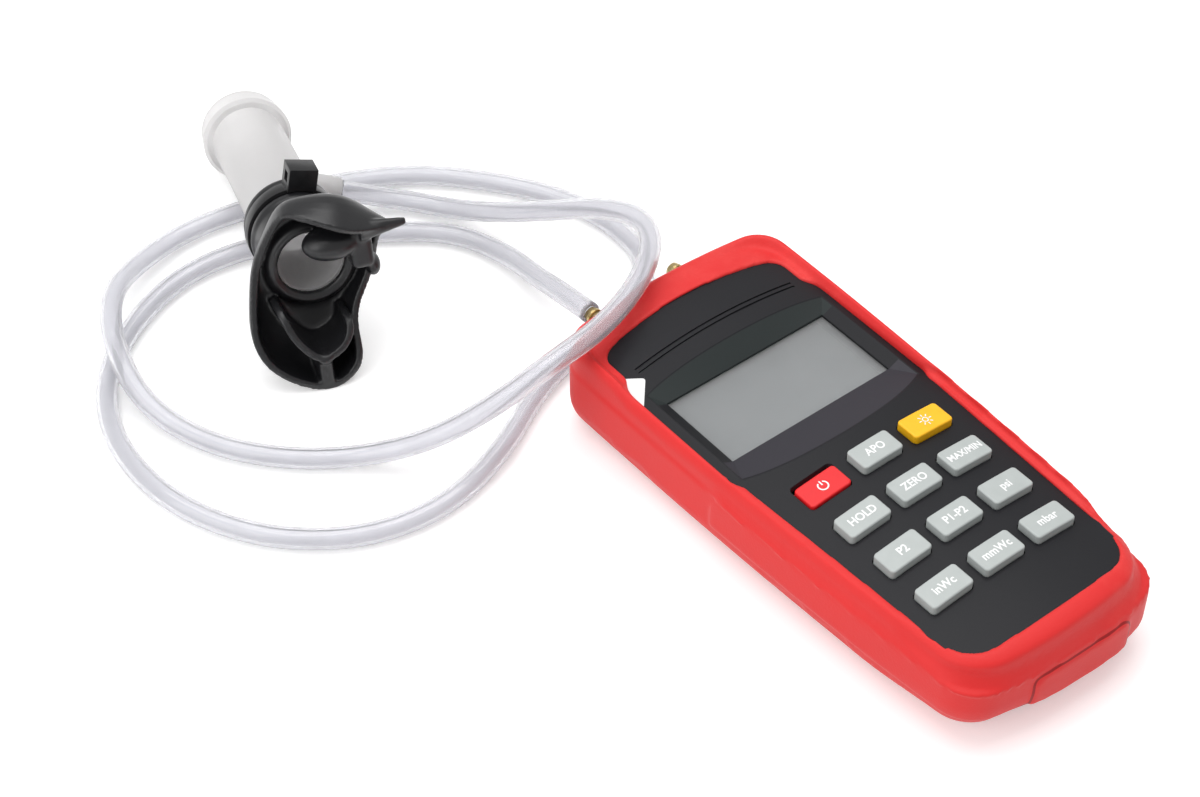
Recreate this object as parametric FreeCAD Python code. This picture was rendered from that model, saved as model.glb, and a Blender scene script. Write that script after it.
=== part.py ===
import FreeCAD, Part
import math
import os

from FreeCAD import Placement, Rotation, Vector

os.makedirs("parts", exist_ok=True)

# Digital manometer in a rubber boot, lying on its back. The origin is on the table under the middle
# of the meter, +Y runs towards the two pressure ports, +X to the right of the face, +Z up.

# Boot
boot_top_end = 74.5
boot_bottom_end = -84.9
boot_half_top = 37.2
boot_half_middle = 36.1
boot_half_bottom = 31.8
boot_top_bow = 2.9
boot_bottom_bow = 4.4
boot_top_corner = 11.0
boot_bottom_corner = 12.0
boot_height = 30.2
boot_wall = 3.0
boot_back = 2.4
foot_round = 9.3
shoulder_height = 20.5
shoulder_step = 0.5
rim_round = 3.6
band_step = 0.7
band_end = 8.0
band_corner = 6.0
back_window_width = 40.0
back_window_top = 30.0
back_window_bottom = -58.0
back_window_corner = 8.0
port_slot_width = 46.0
port_slot_height = 15.0
flap_left = -13.0
flap_right = 18.0
flap_low = 8.5
flap_high = 19.2
flap_corner = 3.0
flap_groove = 0.9
flap_groove_depth = 1.2
flap_proud = 0.8

# Front opening of the boot
opening_top = 62.0
opening_bottom = -74.0
opening_half_title = 29.6
opening_half_display = 31.6
opening_half_keys = 28.9
opening_half_bottom = 25.4
opening_title_end = 49.0
opening_display_top = 45.5
opening_display_end = 4.0
opening_keys_start = 0.5
opening_top_bow = 2.6
opening_bottom_bow = 1.4
opening_corner = 4.5
opening_bottom_corner = 8.0
opening_jog_round = 3.0

# Case
case_split = 15.0
case_wall = 1.9
case_back_round = 6.0
face_height = 29.2
face_radius = 208.0
face_wall = 2.0
screw_boss_radius = 3.4
screw_boss_y = (54.0, -70.5)
screw_boss_x = (26.5, 15.0)
screw_radius = 1.3
screw_head_radius = 2.4
screw_head_height = 1.8
screw_sink = 3.0
screw_length = 15.0

# Display
lcd_width = 54.0
lcd_depth = 26.3
lcd_middle = 23.7
recess_floor = 25.2
recess_floor_wall = 0.8
well_wall = 1.5
recess_rim = 30.0
recess_half_rim = 36.3
recess_top_side = 48.4
recess_top_middle = 44.2
recess_bottom_side = -10.5
recess_bottom_middle = -4.8
window_lap = 1.5
window_thickness = 1.2
glass_lap_x = 2.0
glass_lap_y = 3.8
glass_thickness = 2.2
frame_wall = 1.4
strip_width = 1.8
groove_y = 49.4
groove_gap = 1.6
groove_width = 0.6
groove_depth = 0.4
groove_half = 27.0
groove_bow = 0.9

# Keys
key_pitch_x = 17.4
key_pitch_y = 14.4
key_first_row = -12.6
key_width = 13.2
key_depth = 7.5
key_corner = 1.1
key_edge = 0.5
key_proud = 2.3
power_proud = 0.9
power_slot = 1.3
key_gap = 0.3
key_travel = 1.0
key_flange = 0.9
key_flange_thickness = 1.0
key_under_face = 0.3

# Board and keypad mat
board_top = 19.2
board_thickness = 1.6
board_half_top = 28.5
board_half_bottom = 24.5
board_top_end = 48.5
board_taper_start = 0.0
board_bottom_end = -66.5
board_screw_x = (26.0, 21.0)
board_screw_y = (45.5, -64.0)
board_boss_radius = 2.3
board_screw_radius = 0.9
board_screw_length = 6.0
board_screw_head_radius = 1.9
board_screw_head_height = 1.2
mat_thickness = 1.2
mat_margin = 1.5
dome_clearance = 0.3
dome_top_inset = 1.6
dome_foot_inset = 0.4

# Batteries
cell_radius = 5.25
cell_length = 43.6
cell_pip_radius = 1.9
cell_pip_length = 0.8
cell_count = 4
cell_pitch = 10.9
cell_middle = -30.0
bay_gap = 1.6
bay_wall = 2.4
bay_roof_wall = 0.9
door_gap = 0.2
door_thickness = 2.0
door_lap = 1.5
door_screw_y = -61.0
door_tongue = 6.0
contact_thickness = 0.4

# Pressure ports, hoses and sensors
port_offset = 14.5
port_height = 15.0
port_reach = 84.5
port_shoulder_radius = 4.6
port_shoulder_gap = 0.15
port_shoulder_length = 2.6
port_thread_radius = 3.4
port_nut_half = 4.6
port_nut_length = 2.4
port_nut_gap = 0.9
port_stem_radius = 2.0
port_barb_radius = 2.4
port_barb_length = 2.2
port_barb_land = 0.6
port_barb_count = 3
port_bore = 1.1
port_inner_end = 58.0
hose_radius = 2.9
hose_inner_end = 49.0
sensor_nipple_radius = 1.5
sensor_nipple_end = 54.0
sensor_front = 46.5
sensor_width = 13.0
sensor_depth = 11.0
sensor_drop = 6.4

# Sticker
sticker_width = 7.0
sticker_tuck = 3.2
sticker_length = 9.0
sticker_corner = 1.2
sticker_thickness = 0.12

# Tube from the left port to the adapter
tube_radius = 3.0
tube_sleeve_gap = 1.0
tube_route = [
    (-14.5, 84.5, 15.0), (-14.5, 96.0, 13.6), (-12.6, 111.0, 8.2), (-10.5, 127.5, 3.6),
    (-16.0, 145.0, 3.0), (-30.0, 157.0, 3.0), (-48.0, 168.0, 3.0), (-69.0, 178.0, 3.0),
    (-91.0, 178.5, 3.0), (-112.0, 169.0, 3.0), (-128.0, 155.0, 3.0), (-137.0, 136.0, 3.0),
    (-138.5, 114.0, 3.0), (-133.0, 94.0, 3.0), (-121.0, 76.0, 3.0), (-102.0, 63.0, 3.0),
    (-79.0, 60.0, 3.0), (-56.0, 68.0, 3.0), (-36.0, 80.0, 3.0), (-14.0, 86.0, 3.0),
    (7.0, 90.0, 3.0), (20.5, 102.0, 3.0), (22.0, 121.0, 3.0), (17.0, 140.0, 3.0),
    (5.0, 158.0, 3.0), (-10.0, 174.0, 3.0), (-30.0, 185.2, 3.0), (-52.0, 190.4, 3.0),
    (-76.0, 194.5, 3.2), (-97.0, 188.5, 5.6), (-112.0, 176.0, 12.0), (-122.0, 159.0, 12.0),
    (-125.0, 139.0, 5.2), (-118.5, 118.0, 3.0), (-105.0, 100.0, 3.0), (-88.5, 87.5, 3.6),
    (-74.5, 74.5, 12.0), (-62.0, 63.5, 25.0), (-49.5, 56.0, 38.0), (-33.0, 56.0, 41.5),
    (-16.0, 63.0, 41.5), (-1.0, 73.5, 41.0), (7.0, 89.0, 36.5), (5.5, 105.0, 29.0),
    (0.0, 120.0, 20.5), (-7.5, 136.0, 12.5), (-11.2, 152.5, 4.2), (-18.0, 163.6, 3.4),
    (-26.9, 171.5, 5.0),
]

# Adapter on the far end of the tube, its own frame: Z runs from the rim to the mouthpiece
adapter_place = (-43.8, 214.5)
adapter_heading = -18.9
adapter_tilt = 12.0
rim_radius = 13.2
rim_far_radius = 12.3
rim_length = 9.0
rim_edge = 1.0
barrel_radius = 10.6
barrel_bore = 9.2
socket_radius = 9.8
socket_depth = 14.0
barrel_end = 84.0
spigot_at = 33.0
spigot_turn = -25.0
spigot_radius = 3.6
spigot_length = 22.0
spigot_bore = 2.2

# Mouthpiece
neck_start = 60.0
neck_radius = 13.0
neck_groove_start = 63.5
neck_groove_width = 5.0
neck_groove_radius = 12.2
neck_end = 78.0
mouth_bore = 9.2
shield_back = 84.0
shield_half_length = 31.5
shield_half_width = 17.0
shield_drop = 2.0
shield_curl = 17.0
shield_wall = 2.2
shield_corner = 13.0
bite_from = 13.0
bite_reach = 17.0
bite_thickness = 4.0
bite_width = 11.0
bite_knob_radius = 3.4
bite_knob_half = 6.0

# Cable tie
tie_width = 4.2
tie_thickness = 1.3
tie_head_angle = 56.0
tie_head_width = 7.0
tie_head_height = 6.0
tie_head_length = 8.0
tie_slot = 3.0


def box(x0, x1, y0, y1, z0, z1):
    return Part.makeBox(x1 - x0, y1 - y0, z1 - z0, Vector(x0, y0, z0))


def rod(radius, start, along, length):
    return Part.makeCylinder(radius, length, Vector(*start), Vector(*along))


def group(shapes):
    return Part.makeCompound(shapes)


def arc(a, b, c):
    return Part.Arc(Vector(*a), Vector(*b), Vector(*c)).toShape()


def line(a, b):
    return Part.LineSegment(Vector(*a), Vector(*b)).toShape()


def upright_edges(shape):
    edges = []
    for edge in shape.Edges:
        low, high = edge.BoundBox.ZMin, edge.BoundBox.ZMax
        wide = max(edge.BoundBox.XLength, edge.BoundBox.YLength)
        if high - low > 0.1 and wide < 0.001:
            edges.append(edge)
    return edges


def level_edges(shape, height):
    return [e for e in shape.Edges
            if abs(e.BoundBox.ZMin - height) < 0.001 and abs(e.BoundBox.ZMax - height) < 0.001]


def slab(width, depth, corner, x, y, z0, z1):
    """Upright block with rounded corners, centred on x and y."""
    block = box(x - width / 2, x + width / 2, y - depth / 2, y + depth / 2, z0, z1)
    return block.makeFillet(corner, upright_edges(block))


def fillet_plan(face, radius_at):
    """Round the corners of a flat face, each by what radius_at gives for the corner's place."""
    block = face.extrude(Vector(0, 0, 1))
    for radius in sorted({radius_at(e.CenterOfMass) for e in upright_edges(block)}):
        edges = [e for e in upright_edges(block) if radius_at(e.CenterOfMass) == radius]
        block = block.makeFillet(radius, edges)
    bottom = min(block.Faces, key=lambda f: f.CenterOfMass.z)
    return Part.Face(Part.Wire(Part.sortEdges(bottom.OuterWire.Edges)[0]))


# Plan outlines of the boot and its front opening
def boot_plan():
    top_corner = boot_top_end - boot_top_bow
    bottom_corner = boot_bottom_end + boot_bottom_bow
    middle = (top_corner + bottom_corner) / 2
    edges = [
        arc((-boot_half_top, top_corner, 0), (0, boot_top_end, 0), (boot_half_top, top_corner, 0)),
        arc((boot_half_top, top_corner, 0), (boot_half_middle, middle, 0),
            (boot_half_bottom, bottom_corner, 0)),
        arc((boot_half_bottom, bottom_corner, 0), (0, boot_bottom_end, 0),
            (-boot_half_bottom, bottom_corner, 0)),
        arc((-boot_half_bottom, bottom_corner, 0), (-boot_half_middle, middle, 0),
            (-boot_half_top, top_corner, 0)),
    ]
    face = Part.Face(Part.Wire(edges))
    return fillet_plan(face, lambda p: boot_top_corner if p.y > 0 else boot_bottom_corner)


def opening_plan():
    top_corner = opening_top - opening_top_bow
    bottom_corner = opening_bottom + opening_bottom_bow
    side = [
        (opening_half_title, top_corner, 0),
        (opening_half_title, opening_title_end, 0),
        (opening_half_display, opening_display_top, 0),
        (opening_half_display, opening_display_end, 0),
        (opening_half_keys, opening_keys_start, 0),
        (opening_half_bottom, bottom_corner, 0),
    ]
    left = [(-x, y, z) for x, y, z in side]
    edges = [arc(left[0], (0, opening_top, 0), side[0])]
    edges += [line(a, b) for a, b in zip(side, side[1:])]
    edges.append(arc(side[-1], (0, opening_bottom, 0), left[-1]))
    edges += [line(a, b) for a, b in zip(left[::-1], left[-2::-1])]
    face = Part.Face(Part.Wire(edges))

    def radius_at(p):
        if p.y > opening_title_end + 1:
            return opening_corner
        if p.y < opening_keys_start - 1:
            return opening_bottom_corner
        return opening_jog_round

    return fillet_plan(face, radius_at)


def drawn_in(face, inset):
    """The flat face drawn in by inset all round, each edge drawn again as one arc."""
    arcs = []
    for edge in face.makeOffset2D(-inset).OuterWire.OrderedEdges:
        ends = (edge.FirstParameter, edge.LastParameter)
        points = [edge.valueAt(ends[0]), edge.valueAt(sum(ends) / 2), edge.valueAt(ends[1])]
        arcs.append(Part.Arc(*points).toShape())
    return Part.Face(Part.Wire(Part.sortEdges(arcs)[0]))


boot_face = boot_plan()


def boot_slice(inset, z0, z1):
    """Upright block on the boot's outline, drawn in by inset all round."""
    face = drawn_in(boot_face, inset) if inset else boot_face.copy()
    face.translate(Vector(0, 0, z0))
    return face.extrude(Vector(0, 0, z1 - z0))


def hull(inset, z0, z1, foot_radius):
    """The same block with its bottom edge rounded."""
    block = boot_slice(inset, z0, z1)
    return block.makeFillet(foot_radius, level_edges(block, z0))


def crown(height):
    """Everything below the crowned face, lifted to the given height at the middle line."""
    length = boot_top_end - boot_bottom_end + 40
    return rod(face_radius + height - face_height,
               (0, boot_bottom_end - 20, face_height - face_radius), (0, 1, 0), length)


def face_z(x):
    """Height of the crowned face at x."""
    return face_height - face_radius + math.sqrt(face_radius ** 2 - x ** 2)


# Space that the case fills inside the boot
case_space = hull(boot_wall, boot_back, boot_height, case_back_round)
case_space = case_space.common(crown(face_height))


# Rubber boot: one moulding, open over the face and the back, with a slot for the ports
def rubber_boot():
    lower = hull(band_step, 0, shoulder_height, foot_round)
    side = box(-60, 60, boot_bottom_end - 5, band_end, -5, shoulder_height)
    corner = [e for e in side.Edges
              if abs(e.CenterOfMass.y - band_end) < 0.01 and abs(e.CenterOfMass.z - shoulder_height) < 0.01]
    band = boot_slice(0, foot_round, shoulder_height)
    band = band.makeChamfer(band_step * 0.9, level_edges(band, foot_round))
    band = band.common(side.makeFillet(band_corner, corner))
    upper = boot_slice(band_step + shoulder_step, case_split, boot_height)
    upper = upper.makeFillet(rim_round, level_edges(upper, boot_height))
    opening = opening_plan()
    opening.translate(Vector(0, 0, case_split))
    opening = opening.extrude(Vector(0, 0, boot_height))
    flap = flap_block(0).common(boot_slice(-flap_proud, flap_low, shoulder_height))
    body = lower.fuse(band).fuse(flap).fuse(upper).cut(case_space).cut(opening)
    back_length = back_window_top - back_window_bottom
    back_window = slab(back_window_width, back_length, back_window_corner,
                       0, back_window_bottom + back_length / 2, -1, boot_back + 1)
    slot = slab(port_slot_width, port_slot_height, port_slot_height / 2 - 0.01, 0, 0, 0, 20)
    slot.Placement = Placement(Vector(0, boot_top_end + 5, port_height),
                               Rotation(Vector(1, 0, 0), 90))
    inside = box(-60, 60, boot_bottom_end + flap_groove_depth, 0, -5, boot_height)
    groove = flap_block(flap_groove).cut(flap_block(0)).cut(inside)
    return body.cut(back_window).cut(slot).cut(groove)


def flap_block(grow):
    """Block through the bottom end of the boot on the outline of the moulded flap."""
    low = flap_low - 12
    high = flap_high + grow
    block = box(flap_left - grow, flap_right + grow,
                boot_bottom_end - 3, boot_bottom_end + 8, low, high)
    corners = [e for e in block.Edges
               if abs(e.CenterOfMass.z - high) < 0.01 and e.BoundBox.YLength > 5]
    return block.makeFillet(flap_corner + grow, corners)


# Keys: place, name, how far each stands proud
key_names = [
    ["power", "auto_off", "backlight"],
    ["hold", "zero", "max_min"],
    ["p2", "p1_p2", "psi"],
    ["inwc", "mmwc", "mbar"],
]


def key_places():
    for row, names in enumerate(key_names):
        for column, name in enumerate(names):
            x = (column - 1) * key_pitch_x
            y = key_first_row - row * key_pitch_y
            yield name, x, y


def flange_top(x):
    """Top of a key's flange, just under the lowest point of the face above it."""
    reach = abs(x) + key_width / 2 + key_flange
    radius = face_radius - face_wall
    ceiling = face_height - face_radius + math.sqrt(radius ** 2 - reach ** 2)
    return ceiling - key_under_face


def key_cap(name, x, y):
    proud = power_proud if name == "power" else key_proud
    top = flange_top(x)
    cap = slab(key_width, key_depth, key_corner, x, y, top - key_flange_thickness, boot_height + 2)
    cap = cap.common(crown(face_height + proud))
    rim = max(cap.Faces, key=lambda f: f.CenterOfMass.z)
    cap = cap.makeFillet(key_edge, rim.Edges)
    flange = slab(key_width + 2 * key_flange, key_depth + 2 * key_flange,
                  key_corner + key_flange, x, y, top - key_flange_thickness, top)
    return cap.fuse(flange)


def key_hole(name, x, y):
    extra = power_slot if name == "power" else 0.0
    return slab(key_width + 2 * key_gap, key_depth + 2 * key_gap + extra,
                key_corner + key_gap, x, y + extra / 2, recess_floor - 4, boot_height)


# Display recess and the grooves above it
def recess():
    floor_x = lcd_width / 2
    floor_low = lcd_middle - lcd_depth / 2
    floor_high = lcd_middle + lcd_depth / 2
    top = Part.Wire([
        arc((-recess_half_rim, recess_top_side, recess_rim), (0, recess_top_middle, recess_rim),
            (recess_half_rim, recess_top_side, recess_rim)),
        line((recess_half_rim, recess_top_side, recess_rim),
             (recess_half_rim, recess_bottom_side, recess_rim)),
        arc((recess_half_rim, recess_bottom_side, recess_rim),
            (0, recess_bottom_middle, recess_rim),
            (-recess_half_rim, recess_bottom_side, recess_rim)),
        line((-recess_half_rim, recess_bottom_side, recess_rim),
             (-recess_half_rim, recess_top_side, recess_rim)),
    ])
    corners = [(-floor_x, floor_high, recess_floor), (floor_x, floor_high, recess_floor),
               (floor_x, floor_low, recess_floor), (-floor_x, floor_low, recess_floor)]
    floor = Part.Wire([line(a, b) for a, b in zip(corners, corners[1:] + corners[:1])])
    cut = Part.makeLoft([floor, top], True, True)
    aperture = box(-floor_x, floor_x, floor_low, floor_high, recess_floor - 3, recess_floor + 1)
    return cut.fuse(aperture)


def title_groove(y):
    """Shallow arched groove across the face."""
    rise = groove_bow
    low = Part.Wire([
        arc((-groove_half, y - rise, 0), (0, y, 0), (groove_half, y - rise, 0)),
        line((groove_half, y - rise, 0), (groove_half, y - rise - groove_width, 0)),
        arc((groove_half, y - rise - groove_width, 0), (0, y - groove_width, 0),
            (-groove_half, y - rise - groove_width, 0)),
        line((-groove_half, y - rise - groove_width, 0), (-groove_half, y - rise, 0)),
    ])
    bar = Part.Face(low).extrude(Vector(0, 0, boot_height))
    return bar.cut(crown(face_height - groove_depth))


def board_outline(inset, z0, z1, y_low, y_high):
    half_top = board_half_top - inset
    half_low = board_half_bottom - inset
    points = [Vector(half_top, y_high, z0), Vector(half_top, board_taper_start, z0),
              Vector(half_low, y_low, z0), Vector(-half_low, y_low, z0),
              Vector(-half_top, board_taper_start, z0), Vector(-half_top, y_high, z0)]
    face = Part.Face(Part.makePolygon(points + points[:1]))
    return face.extrude(Vector(0, 0, z1 - z0))


board_screw_places = [(side * x, y) for x, y in zip(board_screw_x, board_screw_y)
                      for side in (-1, 1)]
case_screw_places = [(side * x, y) for x, y in zip(screw_boss_x, screw_boss_y)
                     for side in (-1, 1)]


# Front half of the case: crowned face, display well, key holes and screw bosses
def front_case():
    half = case_space.common(box(-60, 60, -120, 120, case_split, boot_height))
    hollow = boot_slice(boot_wall + case_wall, case_split - 1, boot_height)
    hollow = hollow.common(crown(face_height - face_wall))
    well_low = recess_floor - recess_floor_wall
    well_bottom = lcd_middle - lcd_depth / 2 - 14.0
    well_top = lcd_middle + lcd_depth / 2 + 6.5
    well = box(-60, 60, well_bottom, well_top, well_low, boot_height)
    bosses = [rod(screw_boss_radius, (x, y, case_split), (0, 0, 1), boot_height - case_split)
              for x, y in case_screw_places]
    bosses += [rod(board_boss_radius, (x, y, board_top), (0, 0, 1), boot_height - board_top)
               for x, y in board_screw_places]
    hollow = hollow.cut(well)
    for boss in bosses:
        hollow = hollow.cut(boss)
    shell = half.cut(hollow).cut(recess())
    holes = [key_hole(*place) for place in key_places()]
    holes += [rod(screw_radius, (x, y, case_split), (0, 0, 1), screw_length - screw_sink)
              for x, y in case_screw_places]
    holes += [rod(board_screw_radius, (x, y, board_top), (0, 0, 1),
                  board_screw_length - board_thickness) for x, y in board_screw_places]
    holes.append(rod(port_thread_radius, (-port_offset, port_inner_end, port_height),
                     (0, 1, 0), 30))
    holes.append(rod(port_thread_radius, (port_offset, port_inner_end, port_height),
                     (0, 1, 0), 30))
    for y in (groove_y + groove_gap, groove_y):
        holes.append(title_groove(y))
    for hole in holes:
        shell = shell.cut(hole)
    return shell


# Battery bay sizes, shared by the cells, the contacts, the bay and its door
bay_half = cell_count * cell_pitch / 2 + 0.3
bay_low = cell_middle - cell_length / 2 - bay_gap
bay_high = cell_middle + cell_length / 2 + cell_pip_length + bay_gap
bay_roof = boot_back + door_thickness + 2 * cell_radius + 0.6
door_low = door_screw_y - 4.0
screw_head_top = boot_back + screw_sink + screw_head_height


def rear_case():
    half = case_space.common(box(-60, 60, -120, 120, -1, case_split))
    hollow = hull(boot_wall + case_wall, boot_back + case_wall, case_split + 1, case_back_round)
    bay = box(-bay_half - bay_wall, bay_half + bay_wall, bay_low - bay_wall, bay_high + bay_wall,
              boot_back, case_split)
    hollow = hollow.cut(bay)
    for x, y in case_screw_places:
        hollow = hollow.cut(rod(screw_boss_radius, (x, y, 0), (0, 0, 1), case_split))
    shell = half.cut(hollow)
    roof = box(-bay_half - bay_wall, bay_half + bay_wall, bay_low - bay_wall,
               bay_high + bay_wall, case_split, bay_roof + bay_roof_wall)
    shell = shell.fuse(roof)
    shell = shell.cut(box(-bay_half, bay_half, bay_low, bay_high, boot_back - 1, bay_roof))
    land = box(-door_tongue - door_lap, door_tongue + door_lap, door_low - door_lap, bay_low,
               boot_back + door_thickness, case_split - 4)
    shell = shell.fuse(land.common(case_space)).cut(door_space(0))
    shell = shell.cut(rod(screw_radius, (0, door_screw_y, boot_back), (0, 0, 1), 8))
    for x, y in case_screw_places:
        shell = shell.cut(rod(screw_radius, (x, y, 0), (0, 0, 1), case_split))
        shell = shell.cut(rod(screw_head_radius, (x, y, 0), (0, 0, 1), screw_head_top))
    for x in (-port_offset, port_offset):
        shell = shell.cut(rod(port_thread_radius, (x, port_inner_end, port_height), (0, 1, 0), 30))
    return shell


def door_space(gap):
    """Room for the battery door with its screw tongue, or the door when a gap is left round it."""
    half = bay_half + door_lap - gap
    plate = box(-half, half, bay_low - door_lap + gap, bay_high + door_lap - gap,
                boot_back, boot_back + door_thickness)
    tongue = box(-door_tongue + gap, door_tongue - gap, door_low + gap, bay_low,
                 boot_back, boot_back + door_thickness)
    return plate.fuse(tongue).removeSplitter()


def battery_door():
    plate = door_space(door_gap)
    plate = plate.makeFillet(1.5, upright_edges(plate)).common(case_space)
    ribs = [box(x - 0.5, x + 0.5, bay_low + 4, bay_high - 4, boot_back - 1, boot_back + 0.5)
            for x in (-8.0, -4.0, 0.0, 4.0, 8.0)]
    for rib in ribs:
        plate = plate.cut(rib)
    plate = plate.cut(rod(screw_radius + 0.2, (0, door_screw_y, 0), (0, 0, 1), 8))
    return plate.cut(rod(screw_head_radius, (0, door_screw_y, boot_back), (0, 0, 1), 1.2))


def pan_screw(x, y, z, head_radius, head_height, shank_radius, length):
    """Screw pointing up, with a crossed recess in its head; z is the underside of the head."""
    head = rod(head_radius, (x, y, z - head_height), (0, 0, 1), head_height)
    head = head.makeFillet(head_height * 0.4, level_edges(head, z - head_height))
    arm = head_radius * 0.62
    for half_x, half_y in ((arm, 0.25), (0.25, arm)):
        head = head.cut(box(x - half_x, x + half_x, y - half_y, y + half_y,
                            z - head_height - 1, z - head_height * 0.45))
    return head.fuse(rod(shank_radius, (x, y, z), (0, 0, 1), length))


def battery_cells():
    cells = []
    z = boot_back + door_thickness + 0.3 + cell_radius
    for i in range(cell_count):
        x = (i - (cell_count - 1) / 2) * cell_pitch
        flip = 1 if i % 2 else -1
        start = cell_middle - flip * cell_length / 2
        cell = rod(cell_radius, (x, start, z), (0, flip, 0), cell_length)
        pip = rod(cell_pip_radius, (x, start + flip * cell_length, z), (0, flip, 0),
                  cell_pip_length)
        cells.append(cell.fuse(pip))
    return group(cells)


def battery_contacts():
    """Flat plates at the ends of the bay, against its walls."""
    plates = []
    z = boot_back + door_thickness + 0.3 + cell_radius
    for i in range(cell_count):
        x = (i - (cell_count - 1) / 2) * cell_pitch
        flip = 1 if i % 2 else -1
        for end in (-1, 1):
            wall = bay_low if end < 0 else bay_high
            tip = cell_middle + end * cell_length / 2
            if end == flip:
                tip += end * cell_pip_length
            plate = box(x - 3.8, x + 3.8, min(wall, wall - end * contact_thickness),
                        max(wall, wall - end * contact_thickness), z - 3.8, z + 3.8)
            spring = Part.makeCone(3.2, 1.6, abs(wall - tip) - contact_thickness,
                                   Vector(x, wall - end * contact_thickness, z),
                                   Vector(0, -end, 0))
            plates.append(plate.fuse(spring))
    return group(plates)


def circuit_board():
    board = board_outline(0, board_top - board_thickness, board_top,
                          board_bottom_end, board_top_end)
    for x, y in board_screw_places:
        board = board.cut(rod(board_screw_radius + 0.2, (x, y, 0), (0, 0, 1), boot_height))
    return board


def keypad_mat():
    low = key_first_row - 3 * key_pitch_y - key_depth / 2 - mat_margin
    high = key_first_row + key_depth / 2 + mat_margin
    half = key_pitch_x + key_width / 2 + key_flange - 0.6
    mat = slab(2 * half, high - low, 2.0, 0, (low + high) / 2, board_top, board_top + mat_thickness)
    for name, x, y in key_places():
        top = flange_top(x) - key_flange_thickness - key_travel - dome_clearance
        foot = slab(key_width - 2 * dome_foot_inset, key_depth - 2 * dome_foot_inset, 1.0,
                    x, y, board_top, board_top + mat_thickness + 0.8)
        dome = slab(key_width - 2 * dome_top_inset, key_depth - 2 * dome_top_inset, 0.8,
                    x, y, board_top, top)
        mat = mat.fuse(foot).fuse(dome)
    return mat


well_floor = recess_floor - recess_floor_wall
window_low = well_floor - window_thickness
glass_low = window_low - glass_thickness


def display_window():
    return slab(lcd_width + 2 * window_lap, lcd_depth + 2 * window_lap, 1.0, 0, lcd_middle,
                window_low, well_floor)


def lcd_panel():
    rear = box(-lcd_width / 2 - glass_lap_x, lcd_width / 2 + glass_lap_x,
               lcd_middle - lcd_depth / 2 - glass_lap_y, lcd_middle + lcd_depth / 2 + glass_lap_y,
               glass_low, glass_low + glass_thickness / 2)
    front = box(-lcd_width / 2 - glass_lap_x, lcd_width / 2 + glass_lap_x,
                lcd_middle - lcd_depth / 2 - glass_lap_y / 2,
                lcd_middle + lcd_depth / 2 + glass_lap_y / 2,
                glass_low + glass_thickness / 2, window_low)
    return rear.fuse(front)


def lcd_frame():
    half_x = lcd_width / 2 + glass_lap_x
    half_y = lcd_depth / 2 + glass_lap_y
    outer = slab(2 * (half_x + frame_wall), 2 * (half_y + frame_wall), 1.0, 0, lcd_middle,
                 board_top, window_low)
    inner = box(-half_x, half_x, lcd_middle - half_y, lcd_middle + half_y, 0, boot_height)
    ledge = box(-half_x, half_x, lcd_middle - half_y, lcd_middle + half_y, board_top, glass_low)
    ledge = ledge.cut(box(-half_x + 2, half_x - 2, lcd_middle - half_y, lcd_middle + half_y,
                          board_top, glass_low))
    return outer.cut(inner).fuse(ledge)


def contact_strips():
    half_x = lcd_width / 2 - 1.0
    strips = []
    for side in (-1, 1):
        y = lcd_middle + side * (lcd_depth / 2 + glass_lap_y - strip_width / 2 - 0.2)
        strips.append(box(-half_x, half_x, y - strip_width / 2, y + strip_width / 2,
                          board_top, glass_low))
    return group(strips)


port_shoulder_start = boot_top_end - boot_wall - port_shoulder_gap


def pressure_port(x):
    """Barbed brass fitting through the end wall, with its shoulder outside the case."""
    shoulder_end = port_shoulder_start + port_shoulder_length
    crest = port_barb_length - port_barb_land
    points = [(0, port_inner_end), (port_stem_radius, port_inner_end),
              (port_stem_radius, port_inner_end + 8), (port_thread_radius, port_inner_end + 8),
              (port_thread_radius, port_shoulder_start), (port_shoulder_radius, port_shoulder_start),
              (port_shoulder_radius, shoulder_end), (port_stem_radius, shoulder_end)]
    for i in range(port_barb_count):
        tip = port_reach - i * port_barb_length
        if i == 0:
            barbs = []
        barbs = [(port_stem_radius, tip - port_barb_length),
                 (port_barb_radius, tip - port_barb_length), (port_barb_radius, tip - crest),
                 (port_stem_radius, tip)] + barbs
    points += barbs + [(0, port_reach)]
    wire = Part.makePolygon([Vector(x + r, y, port_height) for r, y in points + points[:1]])
    turned = Part.Face(wire).revolve(Vector(x, 0, port_height), Vector(0, 1, 0), 360)
    return turned.cut(rod(port_bore, (x, port_inner_end - 1, port_height), (0, 1, 0), 40))


def port_nuts():
    nuts = []
    start = boot_top_end - boot_wall - case_wall - port_nut_gap - port_nut_length
    for x in (-port_offset, port_offset):
        corners = [Vector(x + port_nut_half / math.cos(math.pi / 6) * math.cos(math.radians(60 * i)),
                          start,
                          port_height + port_nut_half / math.cos(math.pi / 6)
                          * math.sin(math.radians(60 * i))) for i in range(7)]
        nut = Part.Face(Part.makePolygon(corners)).extrude(Vector(0, port_nut_length, 0))
        nuts.append(nut.cut(rod(port_thread_radius, (x, start - 1, port_height), (0, 1, 0), 9)))
    return group(nuts)


def pressure_sensor(x):
    top = board_top - board_thickness
    case = box(x - sensor_width / 2, x + sensor_width / 2, sensor_front - sensor_depth,
               sensor_front, top - sensor_drop, top)
    case = case.makeFillet(0.8, [e for e in level_edges(case, top - sensor_drop)])
    nipple = rod(sensor_nipple_radius, (x, sensor_front, port_height), (0, 1, 0),
                 sensor_nipple_end - sensor_front)
    return case.fuse(nipple)


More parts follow.
